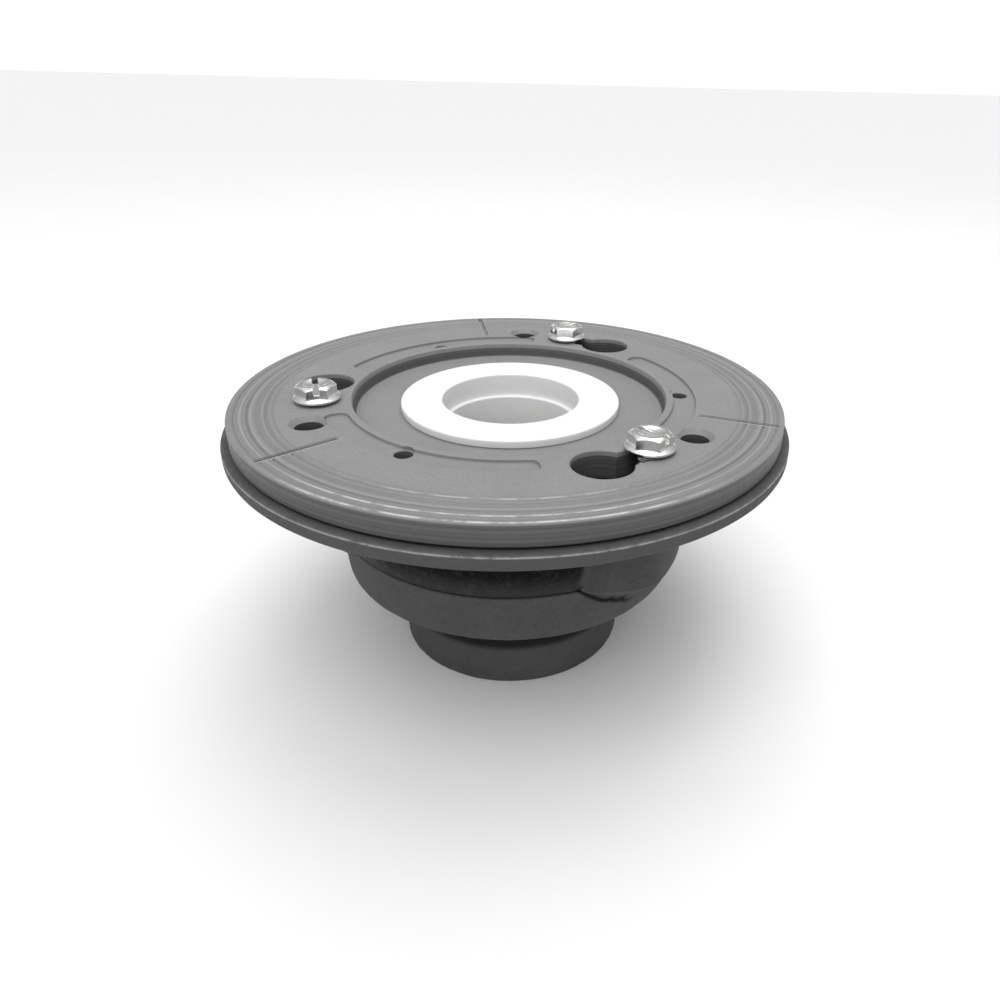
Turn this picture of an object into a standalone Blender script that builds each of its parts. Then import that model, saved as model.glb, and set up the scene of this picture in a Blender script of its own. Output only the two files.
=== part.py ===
"""Cast-iron floor drain with a reversible clamping ring, 190 mm across.

The lower casting (flange, bowl and outlet hub) carries the clamping ring on three hex washer-head
bolts, whose shanks stand in keyhole slots. A plastic throat screws into the ring's middle, and the
outlet hub holds a rubber gasket and its compression nut for a 2 inch pipe. Each casting is divided
at flat joints into simple open shapes: flange, bowl and hub, and the ring with its collar.
Z is up, the drain's axis is the Z axis, and z = 0 is the outlet hub's bottom face.
"""

import math

import bmesh
import bpy

MM = 0.001

# Heights above the outlet hub's bottom face, in millimetres
HUB_TOP = 33.4
LEDGE = 53.1
BOSS_BOTTOM = 42.5
FLANGE_BOTTOM = 85.1
FLANGE_TOP = 88.7
RING_BOTTOM = 91.1
RECESS_FLOOR = 92.8
RING_TOP = 98.2
COLLAR_BOTTOM = 74.8
BOLT_HOLE_BOTTOM = 55.6
BOWL_FLOOR = 37.4
OUTLET_LIP_TOP = 6.0

# Radii about the drain's axis, in millimetres
RING_RADIUS = 95.25
FLANGE_RADIUS = 98.0
HUB_RADIUS = 43.0
BOWL_RADIUS = 63.8
MOUTH_RADIUS = 58.0
RECESS_RADIUS = 55.3
HUB_BORE_RADIUS = 36.4
PIPE_HOLE_RADIUS = 31.0
COLLAR_RADIUS = 36.0
COLLAR_BORE_RADIUS = 30.1
CRESCENT_RADIUS = 65.5
CRESCENT_INNER_RADIUS = 57.8
BOLT_CIRCLE = 66.5
SCREW_HOLE_CIRCLE = 71.0
WEEP_CIRCLE = 60.4
BOSS_SLOPE = 10.5
BOSS_DRAFT = 0.8
NECK_RADIUS = 69.0
NECK_SEAT_RADIUS = 75.0
FLANGE_FILLET = 4.4
CREASE = 0.7
BOWL_DRAFT = 2.0
BOWL_ROUND = 4.0
HUB_FILLET = 1.5
HUB_DRAFT = 0.6
HUB_CHAMFER = 0.8
SEAT_RADIUS = 62.0
FLANGE_BEAD_RADII = (76.0, 87.0)
FLANGE_RIM_START = 91.5
FLANGE_RIM_RISE = 1.5
FLANGE_RIM_SLOPE = 0.5
RING_BEAD_RADIUS = 81.5
BEAD_HALF_WIDTH = 1.4
BEAD_HEIGHT = 1.2
EDGE = 0.7

# Bolts: 5/16 inch shank, slotted hex head on a washer face
SHANK_RADIUS = 3.97
SHANK_LENGTH = 38.1
WASHER_RADIUS = 7.8
WASHER_THICKNESS = 1.1
WASHER_DOME = 0.5
SHANK_POINT = 1.2
HEAD_HEIGHT = 5.3
HEAD_ACROSS_FLATS = 12.0
SLOT_WIDTH = 1.9
SLOT_DEPTH = 2.4
BOLT_STANDOFF = 1.0

# Holes and recesses cut in the ring
KEYHOLE_RADIUS = 9.5
KEYHOLE_SLOT_HALF_WIDTH = 4.7
KEYHOLE_TURN_DEG = 15.5
SCREW_HOLE_RADIUS = 4.6
COUNTERSINK = 1.6
RECESS_ROUND = 1.8
RECESS_DRAFT = 1.1
WEEP_RADIUS = 2.9
WEEP_CHANNEL_START = 48.0
WEEP_CHANNEL_WIDTH = 5.0
WEEP_CHANNEL_DEPTH = 1.6
CRESCENT_DEPTH = 1.2
CRESCENT_CORNER = 3.0
GROOVE_WIDTH = 1.5
GROOVE_DEPTH = 0.9
GROOVE_START = 67.6
GROOVE_END = 93.6

# Angles about the axis, in degrees, each measured from its bolt
BOLT_ANGLES = {"left": 193.0, "front": 313.0, "back": 73.0}
BOLT_SLOT_ANGLES = {"left": -72.0, "front": -43.0, "back": 25.0}
SCREW_HOLE_DEG = 16.0
CRESCENT_START_DEG = 11.6
CRESCENT_END_DEG = 88.8
WEEP_DEG = 49.0
GROOVE_DEG = 29.7

# Round lobes of a bolt boss: degrees from its bolt, distance from the axis, radius
BOSS_LOBES = ((-8.0, 57.0, 13.0), (0.0, 58.2, 15.2), (16.0, 56.7, 12.0))

# Throat, gasket and nut
THROAT_FLANGE_RADIUS = 38.8
THROAT_FLANGE_THICKNESS = 2.5
THROAT_RADIUS = 29.8
THROAT_BORE_RADIUS = 24.3
THROAT_LOWER_BORE_RADIUS = 22.8
THROAT_LEDGE_DEPTH = 11.2
THROAT_DEPTH = 28.0
GASKET_HEIGHT = 18.0
GASKET_BORE_RADIUS = 30.5
NUT_RADIUS = 36.0
NUT_BORE_RADIUS = 31.4
NUT_HEIGHT = 9.4
NUT_NOTCH_WIDTH = 7.0
NUT_NOTCH_DEPTH = 3.0

GAP = 0.3
OVERCUT = 3.0

CASTING_SEGMENTS = 72
THROAT_SEGMENTS = 48
HOLE_SEGMENTS = 20
BOSS_SEGMENTS = 32


def polar(radius, degrees):
    """A point at a radius and an angle about the axis."""
    angle = math.radians(degrees)
    return radius * math.cos(angle), radius * math.sin(angle)


def arc(centre, radius, start_deg, end_deg, steps):
    """Points along an arc about a centre, both ends included."""
    points = []
    for step in range(steps + 1):
        x, y = polar(radius, start_deg + (end_deg - start_deg) * step / steps)
        points.append((centre[0] + x, centre[1] + y))
    return points


def make_material(name, color, roughness, metallic):
    material = bpy.data.materials.new(name)
    material.use_nodes = True
    shader = material.node_tree.nodes["Principled BSDF"]
    shader.inputs["Base Color"].default_value = (*color, 1.0)
    shader.inputs["Roughness"].default_value = roughness
    shader.inputs["Metallic"].default_value = metallic
    return material


def finish_object(name, work, material=None):
    """Turns a bmesh drawn in millimetres into an object in metres, shaded smooth up to 35 degrees."""
    bmesh.ops.scale(work, vec=(MM, MM, MM), verts=work.verts)
    bmesh.ops.recalc_face_normals(work, faces=work.faces)
    mesh = bpy.data.meshes.new(name)
    work.to_mesh(mesh)
    work.free()
    mesh.shade_smooth()
    mesh.set_sharp_from_angle(angle=math.radians(35))
    result = bpy.data.objects.new(name, mesh)
    bpy.context.collection.objects.link(result)
    if material:
        mesh.materials.append(material)
    return result


def turn(work, outline, segments, centre=(0.0, 0.0)):
    """Spins a closed outline of (radius, height) points about an upright axis through the centre."""
    ring = [work.verts.new((centre[0] + r, centre[1], z)) for r, z in outline]
    edges = [work.edges.new((a, b)) for a, b in zip(ring, ring[1:] + ring[:1])]
    bmesh.ops.spin(
        work, geom=ring + edges, cent=(*centre, 0.0), axis=(0.0, 0.0, 1.0),
        angle=math.tau, steps=segments, use_merge=True,
    )


def turn_solid(work, outline, segments, centre=(0.0, 0.0)):
    """Spins an open outline that starts and ends on the axis, and closes it there."""
    path = [work.verts.new((centre[0] + r, centre[1], z)) for r, z in outline]
    edges = [work.edges.new((a, b)) for a, b in zip(path, path[1:])]
    bmesh.ops.spin(
        work, geom=path + edges, cent=(*centre, 0.0), axis=(0.0, 0.0, 1.0),
        angle=math.tau, steps=segments, use_merge=True,
    )
    bmesh.ops.remove_doubles(work, verts=work.verts, dist=1e-4)


def loft(work, layers):
    """Walls through plan outlines of (x, y) points at rising heights, capped at both ends."""
    rings = [[work.verts.new((x, y, z)) for x, y in outline] for outline, z in layers]
    for lower, upper in zip(rings, rings[1:]):
        for index, corner in enumerate(lower):
            beside = index - 1
            work.faces.new((lower[beside], corner, upper[index], upper[beside]))
    work.faces.new(rings[0])
    work.faces.new(rings[-1])


def extrude(work, outline, low, high):
    """A prism on a plan outline."""
    loft(work, [(outline, low), (outline, high)])


def boolean(target, other, operation):
    """Adds or cuts with a second solid, which is kept as a hidden wire guide."""
    modifier = target.modifiers.new(other.name, "BOOLEAN")
    modifier.operation = operation
    modifier.object = other
    modifier.solver = "EXACT"
    other.hide_render = True
    other.display_type = "WIRE"


def bead(radius, height, rise):
    """Outline points of one raised bead, outer side last."""
    crest = BEAD_HALF_WIDTH - BEAD_HEIGHT / 2
    return [(radius - BEAD_HALF_WIDTH, height), (radius - crest / 2, height + rise),
            (radius + crest / 2, height + rise), (radius + BEAD_HALF_WIDTH, height)]


def boss_outline(bolt_deg, inset):
    """Plan of one bolt boss: three round lobes side by side, faired together."""
    lobes = [(*polar(circle, bolt_deg + turned), radius) for turned, circle, radius in BOSS_LOBES]
    outline = []
    for step in range(BOSS_SEGMENTS):
        ux, uy = polar(1.0, 360 * step / BOSS_SEGMENTS)
        x, y, radius = max(lobes, key=lambda lobe: lobe[0] * ux + lobe[1] * uy + lobe[2])
        outline.append((x + ux * (radius - inset), y + uy * (radius - inset)))
    return outline


def bolt_hole_guide():
    """The three tapped holes, through the flange and down into the bosses."""
    work = bmesh.new()
    for degrees in BOLT_ANGLES.values():
        hole = arc(polar(BOLT_CIRCLE, degrees), SHANK_RADIUS + GAP, 0, 342, HOLE_SEGMENTS - 1)
        extrude(work, hole, BOLT_HOLE_BOTTOM, RING_TOP)
    return finish_object("bolt_hole_guide", work)


def drain_flange(material, holes):
    """The lower casting's flange: two gripping beads, a raised rim and a seat on the neck."""
    rim_top = FLANGE_TOP + FLANGE_RIM_RISE
    seat = FLANGE_BOTTOM + GAP
    outline = [(NECK_SEAT_RADIUS, seat), (MOUTH_RADIUS, seat), (MOUTH_RADIUS, FLANGE_TOP)]
    for radius in FLANGE_BEAD_RADII:
        outline += bead(radius, FLANGE_TOP, BEAD_HEIGHT)
    outline += [
        (FLANGE_RIM_START, FLANGE_TOP), (FLANGE_RIM_START + FLANGE_RIM_RISE, rim_top),
        (RING_RADIUS - EDGE, rim_top), (FLANGE_RADIUS - EDGE, rim_top - FLANGE_RIM_SLOPE),
        (FLANGE_RADIUS, rim_top - FLANGE_RIM_SLOPE - EDGE),
        (FLANGE_RADIUS, FLANGE_BOTTOM + EDGE), (FLANGE_RADIUS - EDGE, FLANGE_BOTTOM),
        (NECK_SEAT_RADIUS, FLANGE_BOTTOM)]
    work = bmesh.new()
    turn(work, outline, CASTING_SEGMENTS)
    boolean(finish_object("drain_flange", work, material), holes, "DIFFERENCE")


def drain_bowl(material, holes):
    """The lower casting's flared neck and bowl, with three bolt bosses."""
    top = FLANGE_BOTTOM
    outline = arc((NECK_RADIUS + FLANGE_FILLET, top - FLANGE_FILLET), FLANGE_FILLET, 90, 180, 3)
    outline += [
        (BOWL_RADIUS, LEDGE + CREASE), (BOWL_RADIUS - CREASE, LEDGE), (BOWL_RADIUS, LEDGE - CREASE)]
    round_centre = (BOWL_RADIUS - BOWL_DRAFT - BOWL_ROUND, HUB_TOP + BOWL_ROUND)
    outline += arc(round_centre, BOWL_ROUND, 0, -90, 4)
    outline += [(0.0, HUB_TOP), (0.0, top)]
    work = bmesh.new()
    turn_solid(work, outline[-1:] + outline[:-1], CASTING_SEGMENTS)
    bowl = finish_object("drain_bowl", work, material)

    work = bmesh.new()
    for degrees in BOLT_ANGLES.values():
        full = BOSS_BOTTOM + BOSS_SLOPE
        heights = ((BOSS_SLOPE, BOSS_BOTTOM), (EDGE, full - EDGE), (0.0, full + EDGE), (-BOSS_DRAFT, top))
        loft(work, [(boss_outline(degrees, inset), z) for inset, z in heights])
    boolean(bowl, finish_object("boss_guide", work), "UNION")

    outline = [(0.0, RING_TOP), (MOUTH_RADIUS, RING_TOP), (MOUTH_RADIUS, LEDGE)]
    round_centre = (MOUTH_RADIUS - BOWL_DRAFT - BOWL_ROUND, BOWL_FLOOR + BOWL_ROUND)
    outline += arc(round_centre, BOWL_ROUND, 0, -90, 3)
    outline += [
        (HUB_BORE_RADIUS + EDGE, BOWL_FLOOR), (HUB_BORE_RADIUS, BOWL_FLOOR - EDGE),
        (HUB_BORE_RADIUS, 0.0), (0.0, 0.0)]
    work = bmesh.new()
    turn_solid(work, outline, CASTING_SEGMENTS)
    boolean(bowl, finish_object("bowl_guide", work), "DIFFERENCE")
    boolean(bowl, holes, "DIFFERENCE")


def outlet_hub(material):
    """The lower casting's outlet: a bored hub with an inner lip at its foot."""
    top = HUB_TOP - GAP
    outline = [
        (HUB_BORE_RADIUS, top), (HUB_RADIUS + HUB_FILLET, top), (HUB_RADIUS, top - HUB_FILLET),
        (HUB_RADIUS - HUB_DRAFT, HUB_CHAMFER), (HUB_RADIUS - HUB_DRAFT - HUB_CHAMFER, 0.0),
        (PIPE_HOLE_RADIUS, 0.0), (PIPE_HOLE_RADIUS, OUTLET_LIP_TOP), (HUB_BORE_RADIUS, OUTLET_LIP_TOP)]
    work = bmesh.new()
    turn(work, outline, CASTING_SEGMENTS)
    finish_object("outlet_hub", work, material)


def keyhole_outline(bolt_deg):
    """A big hole that a bolt head passes, joined to a slot that curves to the bolt."""
    centre_deg = bolt_deg - KEYHOLE_TURN_DEG
    centre = polar(BOLT_CIRCLE, centre_deg)

    def meeting(radius):
        """The angle from the big hole's centre to where it meets an edge of the slot."""
        cosine = (radius ** 2 + BOLT_CIRCLE ** 2 - KEYHOLE_RADIUS ** 2) / (2 * radius * BOLT_CIRCLE)
        return math.degrees(math.acos(cosine))

    inner = BOLT_CIRCLE - KEYHOLE_SLOT_HALF_WIDTH
    outer = BOLT_CIRCLE + KEYHOLE_SLOT_HALF_WIDTH
    inner_deg = centre_deg + meeting(inner)
    outer_deg = centre_deg + meeting(outer)
    along = arc((0.0, 0.0), outer, outer_deg, bolt_deg, 3)
    end = arc(polar(BOLT_CIRCLE, bolt_deg), KEYHOLE_SLOT_HALF_WIDTH, bolt_deg, bolt_deg + 180, 8)
    back = arc((0.0, 0.0), inner, bolt_deg, inner_deg, 3)

    def bearing(point):
        return math.degrees(math.atan2(point[1] - centre[1], point[0] - centre[0]))

    start = bearing(back[-1])
    finish = bearing(along[0])
    if finish < start:
        finish += 360
    sweep = arc(centre, KEYHOLE_RADIUS, start, finish, HOLE_SEGMENTS)
    return along + end[1:-1] + back + sweep[1:-1]


def crescent_outline(bolt_deg):
    """A shallow curved pocket just outside the strainer recess, with rounded corners."""
    start = bolt_deg + CRESCENT_START_DEG
    end = bolt_deg + CRESCENT_END_DEG
    outer_circle = CRESCENT_RADIUS - CRESCENT_CORNER
    inner_circle = CRESCENT_INNER_RADIUS + CRESCENT_CORNER
    outer_inset = math.degrees(math.asin(CRESCENT_CORNER / outer_circle))
    inner_inset = math.degrees(math.asin(CRESCENT_CORNER / inner_circle))

    def corner(circle, degrees, start_deg, end_deg):
        return arc(polar(circle, degrees), CRESCENT_CORNER, start_deg, end_deg, 4)

    outline = arc((0.0, 0.0), CRESCENT_INNER_RADIUS, end - inner_inset, start + inner_inset, 12)
    outline += corner(inner_circle, start + inner_inset, start + 180, start + 270)
    outline += corner(outer_circle, start + outer_inset, start + 270, start + 360)
    outline += arc((0.0, 0.0), CRESCENT_RADIUS, start + outer_inset, end - outer_inset, 12)[1:-1]
    outline += corner(outer_circle, end - outer_inset, end, end + 90)
    outline += corner(inner_circle, end - inner_inset, end + 90, end + 180)
    return outline[1:-1]


def bar_outline(degrees, start, end, width):
    """A straight radial bar."""
    ux, uy = polar(1.0, degrees)
    corners = [(start, -width / 2), (end, -width / 2), (end, width / 2), (start, width / 2)]
    return [(ux * along - uy * side, uy * along + ux * side) for along, side in corners]


def clamping_ring(material):
    """The upper casting: recess, threaded collar, keyholes, small holes and marks in its top."""
    seat = FLANGE_TOP + GAP
    outline = [
        (RECESS_RADIUS + EDGE, RING_TOP), (RING_RADIUS - EDGE, RING_TOP), (RING_RADIUS, RING_TOP - EDGE),
        (RING_RADIUS, RING_BOTTOM + EDGE), (RING_RADIUS - EDGE, RING_BOTTOM)]
    outline += reversed(bead(RING_BEAD_RADIUS, RING_BOTTOM, GAP - BEAD_HEIGHT))
    outline += [
        (SEAT_RADIUS + EDGE, RING_BOTTOM), (SEAT_RADIUS, seat), (COLLAR_BORE_RADIUS, seat),
        (COLLAR_BORE_RADIUS, RECESS_FLOOR - EDGE),
        (COLLAR_BORE_RADIUS + EDGE, RECESS_FLOOR), (RECESS_RADIUS - RECESS_ROUND, RECESS_FLOOR),
        (RECESS_RADIUS - RECESS_DRAFT, RECESS_FLOOR + RECESS_ROUND / 2),
        (RECESS_RADIUS, RING_TOP - EDGE)]
    work = bmesh.new()
    turn(work, outline, CASTING_SEGMENTS)
    ring = finish_object("clamping_ring", work, material)

    work = bmesh.new()
    for degrees in BOLT_ANGLES.values():
        extrude(work, keyhole_outline(degrees), seat - OVERCUT, RING_TOP + OVERCUT)
        centre = polar(SCREW_HOLE_CIRCLE, degrees + SCREW_HOLE_DEG)
        top = SCREW_HOLE_RADIUS + COUNTERSINK
        screw_hole = [
            (0.0, RING_TOP + OVERCUT), (top + OVERCUT, RING_TOP + OVERCUT),
            (SCREW_HOLE_RADIUS, RING_TOP - COUNTERSINK), (SCREW_HOLE_RADIUS, seat - OVERCUT),
            (0.0, seat - OVERCUT)]
        turn_solid(work, screw_hole, HOLE_SEGMENTS, centre)
        extrude(work, bar_outline(degrees + GROOVE_DEG, GROOVE_START, GROOVE_END, GROOVE_WIDTH),
                RING_TOP - GROOVE_DEPTH, RING_TOP + OVERCUT)
    boolean(ring, finish_object("keyhole_guide", work), "DIFFERENCE")

    work = bmesh.new()
    for degrees in BOLT_ANGLES.values():
        extrude(work, crescent_outline(degrees), RING_TOP - CRESCENT_DEPTH, RING_TOP + OVERCUT)
    boolean(ring, finish_object("crescent_guide", work), "DIFFERENCE")

    work = bmesh.new()
    for degrees in BOLT_ANGLES.values():
        weep = arc(polar(WEEP_CIRCLE, degrees + WEEP_DEG), WEEP_RADIUS, 0, 330, 11)
        extrude(work, weep, seat - OVERCUT, RING_TOP + OVERCUT)
    boolean(ring, finish_object("weep_guide", work), "DIFFERENCE")

    work = bmesh.new()
    for degrees in BOLT_ANGLES.values():
        channel = bar_outline(degrees + WEEP_DEG, WEEP_CHANNEL_START, WEEP_CIRCLE, WEEP_CHANNEL_WIDTH)
        extrude(work, channel, seat - OVERCUT, seat + WEEP_CHANNEL_DEPTH)
    boolean(ring, finish_object("weep_channel_guide", work), "DIFFERENCE")


def ring_collar(material):
    """The upper casting's threaded collar, which reaches down inside the neck."""
    top = FLANGE_TOP
    outline = [
        (COLLAR_BORE_RADIUS, top), (COLLAR_RADIUS + EDGE, top), (COLLAR_RADIUS, top - EDGE),
        (COLLAR_RADIUS, COLLAR_BOTTOM + EDGE), (COLLAR_RADIUS - EDGE, COLLAR_BOTTOM),
        (COLLAR_BORE_RADIUS + EDGE, COLLAR_BOTTOM), (COLLAR_BORE_RADIUS, COLLAR_BOTTOM + EDGE)]
    work = bmesh.new()
    turn(work, outline, THROAT_SEGMENTS)
    finish_object("ring_collar", work, material)


def bolt_head_guides():
    """The hex that joins the washer face, and the screwdriver slot cut across it."""
    work = bmesh.new()
    circumradius = HEAD_ACROSS_FLATS / 2 / math.cos(math.radians(30))
    hexagon = [polar(circumradius, 30 + 60 * side) for side in range(6)]
    extrude(work, hexagon, WASHER_THICKNESS / 2, HEAD_HEIGHT)
    hexagon_guide = finish_object("hexagon_guide", work)
    work = bmesh.new()
    half = HEAD_ACROSS_FLATS
    extrude(work, [(-half, -SLOT_WIDTH / 2), (half, -SLOT_WIDTH / 2), (half, SLOT_WIDTH / 2),
                   (-half, SLOT_WIDTH / 2)], HEAD_HEIGHT - SLOT_DEPTH, HEAD_HEIGHT + OVERCUT)
    return hexagon_guide, finish_object("slot_guide", work)


def clamp_bolts(material):
    """Three bolts on their circle, each with its origin on its own axis under the washer face."""
    work = bmesh.new()
    crown = WASHER_THICKNESS + WASHER_DOME
    outline = [
        (0.0, crown), (HEAD_ACROSS_FLATS / 2 - EDGE, crown),
        (WASHER_RADIUS - EDGE / 2, WASHER_THICKNESS), (WASHER_RADIUS, WASHER_THICKNESS - EDGE / 2),
        (WASHER_RADIUS, 0.0), (SHANK_RADIUS, 0.0), (SHANK_RADIUS, SHANK_POINT - SHANK_LENGTH),
        (SHANK_RADIUS - SHANK_POINT, -SHANK_LENGTH), (0.0, -SHANK_LENGTH)]
    turn_solid(work, outline, HOLE_SEGMENTS)
    pattern = finish_object("bolt_pattern", work, material)
    hexagon_guide, slot_guide = bolt_head_guides()
    for place, degrees in BOLT_ANGLES.items():
        bolt = pattern.copy()
        bolt.name = f"clamp_bolt_{place}"
        bpy.context.collection.objects.link(bolt)
        x, y = polar(BOLT_CIRCLE, degrees)
        seat = (x * MM, y * MM, (RING_TOP + BOLT_STANDOFF) * MM)
        for guide, operation in ((hexagon_guide, "UNION"), (slot_guide, "DIFFERENCE")):
            placed = guide.copy()
            placed.name = f"{guide.name}_{place}"
            bpy.context.collection.objects.link(placed)
            placed.location = seat
            placed.rotation_euler.z = math.radians(BOLT_SLOT_ANGLES[place])
            boolean(bolt, placed, operation)
        bolt.location = seat
        bolt.rotation_euler.z = math.radians(BOLT_SLOT_ANGLES[place])
    for guide in (pattern, hexagon_guide, slot_guide):
        bpy.data.objects.remove(guide)


def strainer_throat(material):
    """The plastic throat: a flat flange in the recess and a threaded barrel in the ring's collar."""
    bottom = RECESS_FLOOR + GAP
    top = bottom + THROAT_FLANGE_THICKNESS
    ledge = RING_TOP - THROAT_LEDGE_DEPTH
    foot = RING_TOP - THROAT_DEPTH
    outline = [
        (THROAT_BORE_RADIUS + EDGE, top), (THROAT_FLANGE_RADIUS - EDGE, top),
        (THROAT_FLANGE_RADIUS, top - EDGE), (THROAT_FLANGE_RADIUS, bottom), (THROAT_RADIUS, bottom),
        (THROAT_RADIUS, foot + EDGE), (THROAT_RADIUS - EDGE, foot), (THROAT_LOWER_BORE_RADIUS, foot),
        (THROAT_LOWER_BORE_RADIUS, ledge), (THROAT_BORE_RADIUS, ledge + EDGE),
        (THROAT_BORE_RADIUS, top - EDGE)]
    work = bmesh.new()
    turn(work, outline, THROAT_SEGMENTS)
    finish_object("strainer_throat", work, material)


def outlet_gasket(material):
    """The rubber ring that grips the outlet pipe, on the lip at the hub's foot."""
    low = OUTLET_LIP_TOP + GAP
    high = low + GASKET_HEIGHT
    outer = HUB_BORE_RADIUS - GAP
    outline = [
        (GASKET_BORE_RADIUS + EDGE, high), (outer - EDGE, high), (outer, high - EDGE),
        (outer, low + EDGE), (outer - EDGE, low), (GASKET_BORE_RADIUS, low),
        (GASKET_BORE_RADIUS, high - EDGE)]
    work = bmesh.new()
    turn(work, outline, THROAT_SEGMENTS)
    finish_object("outlet_gasket", work, material)


def compression_nut(material):
    """The threaded ring that squeezes the gasket, notched on top for its spanner."""
    low = OUTLET_LIP_TOP + GASKET_HEIGHT + 2 * GAP
    high = low + NUT_HEIGHT
    outline = [
        (NUT_BORE_RADIUS, high), (NUT_RADIUS - EDGE, high), (NUT_RADIUS, high - EDGE),
        (NUT_RADIUS, low + EDGE), (NUT_RADIUS - EDGE, low), (NUT_BORE_RADIUS, low)]
    work = bmesh.new()
    turn(work, outline, THROAT_SEGMENTS)
    nut = finish_object("compression_nut", work, material)
    work = bmesh.new()
    for side in range(6):
        notch = bar_outline(60 * side, NUT_BORE_RADIUS - OVERCUT, NUT_RADIUS + OVERCUT, NUT_NOTCH_WIDTH)
        extrude(work, notch, high - NUT_NOTCH_DEPTH, high + OVERCUT)
    boolean(nut, finish_object("notch_guide", work), "DIFFERENCE")


def main():
    for item in list(bpy.data.objects):
        bpy.data.objects.remove(item)
    body_iron = make_material("body_iron", (0.085, 0.085, 0.088), 0.62, 0.35)
    holes = bolt_hole_guide()
    drain_flange(body_iron, holes)
    drain_bowl(body_iron, holes)
    outlet_hub(body_iron)
    ring_iron = make_material("ring_iron", (0.19, 0.19, 0.195), 0.48, 0.35)
    clamping_ring(ring_iron)
    ring_collar(ring_iron)
    clamp_bolts(make_material("zinc_steel", (0.75, 0.75, 0.76), 0.22, 1.0))
    strainer_throat(make_material("white_plastic", (0.86, 0.86, 0.85), 0.38, 0.0))
    outlet_gasket(make_material("black_rubber", (0.03, 0.03, 0.03), 0.8, 0.0))
    compression_nut(make_material("nut_brass", (0.62, 0.45, 0.2), 0.35, 1.0))


main()
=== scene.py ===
"""Cast-iron floor drain with a reversible clamping ring: its finished surfaces, light and view."""

import math

import bmesh
import bpy
from mathutils import Matrix, Vector, noise


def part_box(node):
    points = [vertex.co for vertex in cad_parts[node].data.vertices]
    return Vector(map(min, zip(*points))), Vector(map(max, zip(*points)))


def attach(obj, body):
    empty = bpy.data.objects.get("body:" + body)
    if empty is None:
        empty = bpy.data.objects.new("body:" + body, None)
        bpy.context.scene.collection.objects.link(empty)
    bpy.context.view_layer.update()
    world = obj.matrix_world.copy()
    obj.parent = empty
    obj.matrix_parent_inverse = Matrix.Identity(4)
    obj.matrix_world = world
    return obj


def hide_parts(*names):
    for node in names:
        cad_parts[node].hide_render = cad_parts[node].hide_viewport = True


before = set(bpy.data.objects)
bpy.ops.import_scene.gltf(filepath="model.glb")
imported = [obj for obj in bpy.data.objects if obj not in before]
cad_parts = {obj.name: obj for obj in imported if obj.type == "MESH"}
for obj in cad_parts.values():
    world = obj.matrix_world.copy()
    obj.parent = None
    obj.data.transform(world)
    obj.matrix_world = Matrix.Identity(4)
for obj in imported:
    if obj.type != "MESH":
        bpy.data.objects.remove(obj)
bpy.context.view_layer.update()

MM = 0.001


def high(node):
    """The highest corner of a CAD node, in millimetres."""
    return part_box(node)[1] / MM


def low(node):
    """The lowest corner of a CAD node, in millimetres."""
    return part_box(node)[0] / MM


# Read from the frame, in millimetres
RING_TOP = high("clamping_ring").z
RING_RADIUS = high("clamping_ring").x
COLLAR_BOTTOM = low("ring_collar").z
FLANGE_RADIUS = high("drain_flange").x
THROAT_TOP = high("strainer_throat").z
THROAT_FOOT = low("strainer_throat").z
THROAT_FLANGE_RADIUS = high("strainer_throat").x
GASKET_TOP = high("outlet_gasket").z
GASKET_FOOT = low("outlet_gasket").z
GASKET_RADIUS = high("outlet_gasket").x
NUT_TOP = high("compression_nut").z
NUT_FOOT = low("compression_nut").z
NUT_RADIUS = high("compression_nut").x
BOLT_FOOT = low("clamp_bolt_left").z
BOLT_TOP = high("clamp_bolt_left").z

# Heights of the castings' steps, from the ring's top and the flange's beads
BEAD_HEIGHT = 1.2
GAP = 0.3
FLANGE_RIM_RISE = 1.5
FLANGE_TOP = high("drain_flange").z - FLANGE_RIM_RISE
FLANGE_THICKNESS = 3.6
FLANGE_BOTTOM = FLANGE_TOP - FLANGE_THICKNESS
RING_THICKNESS = 7.1
RING_BOTTOM = RING_TOP - RING_THICKNESS
RECESS_FLOOR = RING_TOP - 5.4
LEDGE = RING_TOP - 45.1
BOSS_BOTTOM = RING_TOP - 55.7
BOWL_FLOOR = RING_TOP - 60.8
HUB_TOP = RING_TOP - 64.8
OUTLET_LIP_TOP = GASKET_FOOT - GAP

# Radii about the drain's axis
HUB_RADIUS = 43.0
HUB_BORE_RADIUS = GASKET_RADIUS + GAP
PIPE_HOLE_RADIUS = 31.0
BOWL_RADIUS = 63.8
NECK_RADIUS = 69.0
MOUTH_RADIUS = 58.0
RECESS_RADIUS = 55.3
COLLAR_RADIUS = 36.0
COLLAR_BORE_RADIUS = 30.1
SEAT_RADIUS = 62.0
CRESCENT_RADIUS = 65.5
CRESCENT_INNER_RADIUS = 57.8
BOLT_CIRCLE = 66.5
SCREW_HOLE_CIRCLE = 71.0
WEEP_CIRCLE = 60.4
FLANGE_BEAD_RADII = (76.0, 87.0)
FLANGE_RIM_START = 91.5
FLANGE_RIM_SLOPE = 0.1
RING_BEAD_RADIUS = 81.5
BEAD_HALF_WIDTH = 1.4

# Round lobes of a bolt boss: degrees from its bolt, distance from the axis, radius
BOSS_LOBES = ((-8.0, 57.0, 13.0), (0.0, 58.2, 15.2), (16.0, 56.7, 12.0))
BOSS_SLOPE = 10.5
BOSS_BLEND = 1.0
BOSS_STEPS = 8
FLARE_START = NECK_RADIUS + 5.0
FLARE_END = NECK_RADIUS + 18.0
HUB_THREAD_FOOT = GASKET_TOP - 3.0
HUB_THREAD_TOP = BOWL_FLOOR - 1.0

# Unevenness of the cast surface: depth in millimetres, waves to a millimetre
CAST_WAVES = ((0.16, 0.09), (0.10, 0.42))

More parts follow.
